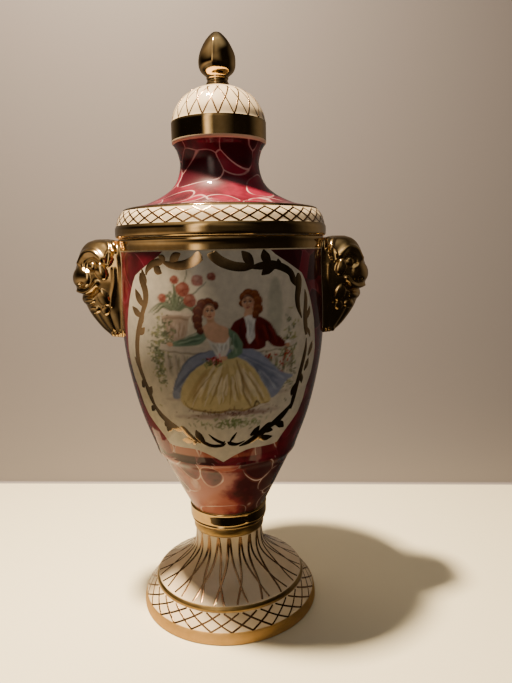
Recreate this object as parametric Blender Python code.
"""Porcelain lidded urn with two gilded animal-mask handles.

Three hollow castings turned about Z: the foot, the body with its handles luted on, and the loose lid.
Metres, +Z up. The origin is at the middle of the foot's underside, and the handles lie along X.
"""
from math import cos, pi, sin

import bmesh
import bpy
from mathutils import Matrix, Vector

# Driving sizes
HEIGHT = 0.4600        # underside of the foot to the tip of the finial
SEGMENTS = 32          # flats around each turned piece
GAP = 0.0003           # joint between two pieces that touch
WALL = 0.0045          # thickness of the cast porcelain

# Foot: base edge, lattice slope, shoulder ring, bell, stem and collar
BASE_R = 0.0740
EDGE_TOP_R = 0.0724
EDGE_TOP_Z = 0.0092
SHOULDER_R = 0.0632
SHOULDER_Z = 0.0202
STEM_R = 0.0285
COLLAR_LOW_Z = 0.0643
COLLAR_R = 0.0298
FOOT_TOP_Z = 0.0710
TREAD_R = 0.0650       # inner edge of the ring that the urn stands on

# Body: knop, cone, ledge, bowl and neck rim
KNOP_R = 0.0326
KNOP_TOP_Z = 0.0856
CONE_LOW_R = 0.0315
LEDGE_Z = 0.1310
CONE_TOP_R = 0.0534
BOWL_LOW_R = 0.0587
BOWL_LOW_Z = 0.1402
BOWL_R = 0.0815
NECK_R = 0.0807
NECK_LOW_Z = 0.2973
RIM_Z = 0.3065
MOUTH_R = 0.0745
FLOOR_Z = 0.0890       # inside floor of the cone

# Lid: locating rim, flange, flare, waist, gilt band, dome and finial
LOCATING_R = 0.0725
LOCATING_Z = 0.2945
FLANGE_R = 0.0830
FLANGE_EDGE_Z = 0.3150
SLOPE_TOP_R = 0.0757
SLOPE_TOP_Z = 0.3278
WAIST_R = 0.0309
WAIST_Z = 0.3615
BAND_R = 0.0368
BAND_LOW_Z = 0.3785
BAND_TOP_Z = 0.3935
DOME_TOP_R = 0.0120
DOME_TOP_Z = 0.4200
BUD_R = 0.0143
BUD_WIDE_Z = 0.4372

# Handles: an animal mask in profile, muzzle down, with a curled horn on each side
ROOT_R = 0.0785        # the handle's root lies inside the body's wall
HANDLE_TOP_Z = 0.3074
HANDLE_REACH = 0.1180
BROW_Z = 0.2760
BROW_WIDTH = 0.0280    # from the middle of the mask to its side, at the wall


def smooth(points, steps):
    """Points of a smooth curve through the given ones, with a number of steps between neighbours."""
    ends = [2 * Vector(points[0]) - Vector(points[1]), 2 * Vector(points[-1]) - Vector(points[-2])]
    path = [ends[0]] + [Vector(p) for p in points] + [ends[1]]
    result = []
    for a, b, c, d in zip(path, path[1:], path[2:], path[3:]):
        for step in range(steps):
            t = step / steps
            linear = (c - a) * t
            square = (2 * a - 5 * b + 4 * c - d) * t ** 2
            cube = (3 * b - a - 3 * c + d) * t ** 3
            result.append(tuple((2 * b + linear + square + cube) / 2))
    return result + [tuple(points[-1])]


def glaze(name, colour, roughness, metallic=0.0):
    """A plain glazed or gilded finish."""
    material = bpy.data.materials.new(name)
    material.use_nodes = True
    shader = material.node_tree.nodes["Principled BSDF"]
    shader.inputs["Base Color"].default_value = (*colour, 1.0)
    shader.inputs["Roughness"].default_value = roughness
    shader.inputs["Metallic"].default_value = metallic
    material.diffuse_color = (*colour, 1.0)
    return material


def add_object(name, mesh_data, material):
    """Put a finished bmesh into the scene as one named object with smooth faces and sharp edges kept."""
    bmesh.ops.remove_doubles(mesh_data, verts=mesh_data.verts, dist=1e-6)
    bmesh.ops.recalc_face_normals(mesh_data, faces=mesh_data.faces)
    mesh = bpy.data.meshes.new(name)
    mesh_data.to_mesh(mesh)
    mesh_data.free()
    mesh.shade_smooth()
    mesh.set_sharp_from_angle(angle=0.6)
    mesh.materials.append(material)
    piece = bpy.data.objects.new(name, mesh)
    bpy.context.collection.objects.link(piece)
    return piece


def turned(name, outline, material):
    """A closed solid turned about Z from (radius, height) points that run once round its section.

    An outline that starts and ends on the axis is closed there by single points, and any other is a ring.
    """
    mesh_data = bmesh.new()
    rows = []
    for radius, height in outline:
        if radius < 1e-6:
            rows.append([mesh_data.verts.new((0, 0, height))] * SEGMENTS)
            continue
        turns = [2 * pi * i / SEGMENTS for i in range(SEGMENTS)]
        rows.append([mesh_data.verts.new((radius * cos(t), radius * sin(t), height)) for t in turns])
    pairs = list(zip(rows, rows[1:]))
    if outline[0][0] > 1e-6:
        pairs.append((rows[-1], rows[0]))
    for lower, upper in pairs:
        for i in range(SEGMENTS):
            j = (i + 1) % SEGMENTS
            corners = []
            for corner in (lower[i], lower[j], upper[j], upper[i]):
                if corner not in corners:
                    corners.append(corner)
            mesh_data.faces.new(corners)
    return add_object(name, mesh_data, material)


def foot_outline():
    """Section of the foot, from the tread's inner edge out, up the outside and down the inside."""
    bell = smooth([(STEM_R - 0.0002, 0.0560), (0.0303, 0.0478), (0.0365, 0.0406),
                   (0.0485, 0.0320), (SHOULDER_R - 0.0027, SHOULDER_Z + 0.0047)], 2)
    outside = [
        (TREAD_R, 0.0), (BASE_R - 0.0005, 0.0), (BASE_R, 0.0007),
        (EDGE_TOP_R + 0.0002, EDGE_TOP_Z), (EDGE_TOP_R - 0.0006, EDGE_TOP_Z + 0.0006),
        (SHOULDER_R, SHOULDER_Z), (SHOULDER_R, SHOULDER_Z + 0.0020),
        (SHOULDER_R - 0.0012, SHOULDER_Z + 0.0038), *reversed(bell),
        (STEM_R, COLLAR_LOW_Z - 0.0005), (COLLAR_R - 0.0005, COLLAR_LOW_Z),
        (COLLAR_R, COLLAR_LOW_Z + 0.0030), (COLLAR_R - 0.0003, FOOT_TOP_Z),
    ]
    bore = STEM_R - WALL
    inside = [
        (bore, FOOT_TOP_Z), (bore, 0.0500), (0.0310, 0.0405), (0.0460, 0.0292),
        (SHOULDER_R - 0.0065, SHOULDER_Z), (TREAD_R - 0.0015, 0.0040),
    ]
    return outside + inside


def body_outline():
    """Section of the body: up the hollow knop and the outside, over the rim and down the inside."""
    cone = [(CONE_LOW_R, KNOP_TOP_Z + 0.0002), (CONE_TOP_R, LEDGE_Z)]
    bowl = smooth([(BOWL_LOW_R, BOWL_LOW_Z), (0.0681, 0.1660), (0.0750, 0.1930),
                   (0.0797, 0.2210), (BOWL_R, 0.2560), (NECK_R, NECK_LOW_Z)], 2)
    knop = [
        (STEM_R - WALL, FOOT_TOP_Z + GAP), (0.0306, FOOT_TOP_Z + GAP), (0.0313, FOOT_TOP_Z + 0.0022),
        (KNOP_R - 0.0002, KNOP_TOP_Z - 0.0060), (KNOP_R, KNOP_TOP_Z - 0.0012), (KNOP_R - 0.0006, KNOP_TOP_Z),
    ]
    ledge = [(CONE_TOP_R + 0.0025, LEDGE_Z + 0.0026), (BOWL_LOW_R - 0.0006, LEDGE_Z + 0.0062)]
    neck = [(NECK_R, RIM_Z - 0.0040), (NECK_R + 0.0006, RIM_Z - 0.0022), (NECK_R - 0.0006, RIM_Z)]
    inside = [
        (MOUTH_R, RIM_Z), (MOUTH_R, RIM_Z - 0.0200), (BOWL_R - WALL - 0.0014, 0.2300), (0.0718, 0.2040),
        (0.0660, 0.1800), (BOWL_LOW_R - WALL, BOWL_LOW_Z + 0.0020), (CONE_LOW_R - WALL, FLOOR_Z + 0.0010),
        (0.0, FLOOR_Z),
    ]
    underside = [(0.0, FLOOR_Z - WALL), (STEM_R - WALL - 0.0020, FLOOR_Z - WALL - 0.0010)]
    return underside + knop + cone + ledge + bowl + neck + inside


def lid_outline():
    """Section of the lid: round the locating rim and flange, up to the bud's tip, and up the inside."""
    flange_low = RIM_Z + GAP
    flare = smooth([(SLOPE_TOP_R - 0.0015, SLOPE_TOP_Z + 0.0007), (0.0590, 0.3320), (0.0435, 0.3397),
                    (0.0345, 0.3488), (WAIST_R, WAIST_Z), (0.0326, 0.3716), (BAND_R - 0.0012, 0.3772)], 2)
    dome = smooth([(BAND_R - 0.0002, BAND_TOP_Z + 0.0002), (0.0344, 0.4016), (0.0287, 0.4105),
                   (DOME_TOP_R, DOME_TOP_Z)], 2)
    bud = smooth([(0.0096, 0.4288), (0.0134, 0.4328), (BUD_R, BUD_WIDE_Z), (0.0126, 0.4448),
                  (0.0080, 0.4536), (0.0028, 0.4592)], 2)
    rim = [(LOCATING_R - 0.0040, LOCATING_Z), (LOCATING_R, LOCATING_Z), (LOCATING_R, flange_low)]
    flange = [
        (FLANGE_R - 0.0012, flange_low), (FLANGE_R, flange_low + 0.0018), (FLANGE_R, FLANGE_EDGE_Z - 0.0012),
        (FLANGE_R - 0.0012, FLANGE_EDGE_Z + 0.0008), (0.0799, 0.3220), (SLOPE_TOP_R, SLOPE_TOP_Z),
    ]
    band = [(BAND_R, BAND_LOW_Z), (BAND_R, BAND_TOP_Z)]
    finial_base = [(0.0086, 0.4230), (0.0081, 0.4250), (0.0100, 0.4264)]
    inside = [
        (0.0560, 0.3285), (0.0390, 0.3375), (0.0285, 0.3510), (WAIST_R - WALL, WAIST_Z),
        (BAND_R - WALL, BAND_LOW_Z + 0.0010), (BAND_R - WALL, BAND_TOP_Z - 0.0010), (0.0240, 0.4085),
    ]
    flange_inside = [
        (LOCATING_R - 0.0040, flange_low + WALL), (FLANGE_R - WALL, flange_low + WALL),
        (FLANGE_R - WALL, FLANGE_EDGE_Z), (0.0708, 0.3245),
    ]
    under = flange_inside + inside + [(0.0, 0.4150)]
    tip = [(0.0, HEIGHT)]
    section = rim + flange + flare + band + dome + finial_base + bud + tip
    return list(reversed(under)) + section


def mask_head(side, material):
    """The head of one handle, lofted from level sections: rounded outside, and an arc inside the wall."""
    # height, reach from the axis, half width across, and reach of the root
    sections = [
        (0.2293, 0.0880, 0.0090, ROOT_R), (0.2308, 0.0912, 0.0130, ROOT_R),
        (0.2360, 0.0965, 0.0180, ROOT_R), (0.2442, 0.1032, 0.0215, ROOT_R),
        (0.2510, 0.1075, 0.0235, ROOT_R), (0.2575, 0.1105, 0.0250, ROOT_R),
        (0.2650, 0.1143, 0.0265, ROOT_R), (BROW_Z - 0.0035, 0.1176, 0.0275, ROOT_R),
        (BROW_Z, HANDLE_REACH, BROW_WIDTH, ROOT_R), (0.2835, 0.1164, BROW_WIDTH, ROOT_R),
        (0.2885, 0.1145, 0.0275, ROOT_R), (0.2947, 0.1126, 0.0260, ROOT_R),
        (0.3004, 0.1098, 0.0225, ROOT_R), (0.3045, 0.1062, 0.0170, ROOT_R),
        (HANDLE_TOP_Z, 0.0990, 0.0070, 0.0890),
    ]
    arc_steps = 8
    mesh_data = bmesh.new()
    rings = []
    for height, reach, half_width, root in sections:
        ring = []
        for step in range(arc_steps + 1):
            turn = pi * (step / arc_steps - 0.5)
            across = half_width * sin(turn)
            inner = (root ** 2 - half_width ** 2) ** 0.5
            out = inner + (reach - inner) * abs(cos(turn)) ** 0.9
            ring.append(mesh_data.verts.new((side * out, across, height)))
        for share in (0.5, 0.0, -0.5):
            across = half_width * share
            ring.append(mesh_data.verts.new((side * (root ** 2 - across ** 2) ** 0.5, across, height)))
        rings.append(ring)
    for lower, upper in zip(rings, rings[1:]):
        for i in range(len(lower)):
            j = (i + 1) % len(lower)
            mesh_data.faces.new((lower[i], lower[j], upper[j], upper[i]))
    mesh_data.faces.new(rings[0])
    mesh_data.faces.new(rings[-1])
    return add_object("mask_head", mesh_data, material)


def lobe(centre, radii, material):
    """An egg-shaped swelling of the carving."""
    mesh_data = bmesh.new()
    bmesh.ops.create_icosphere(mesh_data, subdivisions=2, radius=1.0)
    bmesh.ops.transform(mesh_data, matrix=Matrix.Translation(centre) @ Matrix.Diagonal((*radii, 1)),
                        verts=mesh_data.verts)
    return add_object("lobe", mesh_data, material)


def horn(centre, ring_radius, thickness, material):
    """The curled horn, a closed ring that lies flat against the side of the head."""
    mesh_data = bmesh.new()
    turns, sides = 14, 5
    rows = []
    for i in range(turns):
        turn = 2 * pi * i / turns
        row = []
        for j in range(sides):
            around = 2 * pi * j / sides
            radius = ring_radius + thickness * cos(around)
            place = centre + Vector((radius * cos(turn), thickness * sin(around), radius * sin(turn)))
            row.append(mesh_data.verts.new(place))
        rows.append(row)
    for i in range(turns):
        lower, upper = rows[i], rows[(i + 1) % turns]
        for j in range(sides):
            k = (j + 1) % sides
            mesh_data.faces.new((lower[j], lower[k], upper[k], upper[j]))
    return add_object("horn", mesh_data, material)


def carve_handle(side, material):
    """The shapes that make one handle; they overlap one another and the body's wall."""
    shapes = [mask_head(side, material)]
    # collar at the neck and bead at the muzzle: reach, height and radii
    for reach, height, radii in ((0.0835, 0.2985, (0.0034, 0.0240, 0.0066)),
                                 (0.0850, 0.2318, (0.0070, 0.0145, 0.0030))):
        shapes.append(lobe(Vector((side * reach, 0, height)), radii, material))
    # ear, eye and cheek on each face: reach, distance from the middle, height and radii
    for face in (-1, 1):
        shapes.append(horn(Vector((side * 0.0925, face * 0.0240, 0.2893)), 0.0085, 0.0025, material))
        for reach, across, height, radii in ((0.0925, 0.0225, 0.2872, (0.0060, 0.0060, 0.0060)),
                                             (0.1000, 0.0195, 0.2740, (0.0096, 0.0055, 0.0078)),
                                             (0.0920, 0.0180, 0.2590, (0.0055, 0.0050, 0.0070))):
            shapes.append(lobe(Vector((side * reach, face * across, height)), radii, material))
    return shapes


def join_handles(body, material):
    """Lute both handles to the body: one solid, with the carving's own shapes hidden as guides."""
    carving = bpy.data.collections.new("carving")
    bpy.context.scene.collection.children.link(carving)
    for side in (-1, 1):
        for shape in carve_handle(side, material):
            bpy.context.collection.objects.unlink(shape)
            carving.objects.link(shape)
            shape.hide_render = True
            shape.display_type = "WIRE"
    union = body.modifiers.new("luted handles", "BOOLEAN")
    union.operation = "UNION"
    union.operand_type = "COLLECTION"
    union.collection = carving
    union.solver = "EXACT"


def build():
    """Clear the scene and make the three pieces where they stand."""
    for old in list(bpy.data.objects):
        bpy.data.objects.remove(old, do_unlink=True)
    porcelain = glaze("cream glazed porcelain", (0.72, 0.62, 0.47), 0.12)
    crimson = glaze("crimson marbled glaze", (0.20, 0.012, 0.03), 0.08)
    gilt = glaze("burnished gilding", (0.62, 0.42, 0.16), 0.12, 1.0)
    turned("foot", foot_outline(), porcelain)
    body = turned("body", body_outline(), crimson)
    join_handles(body, gilt)
    turned("lid", lid_outline(), porcelain)


build()
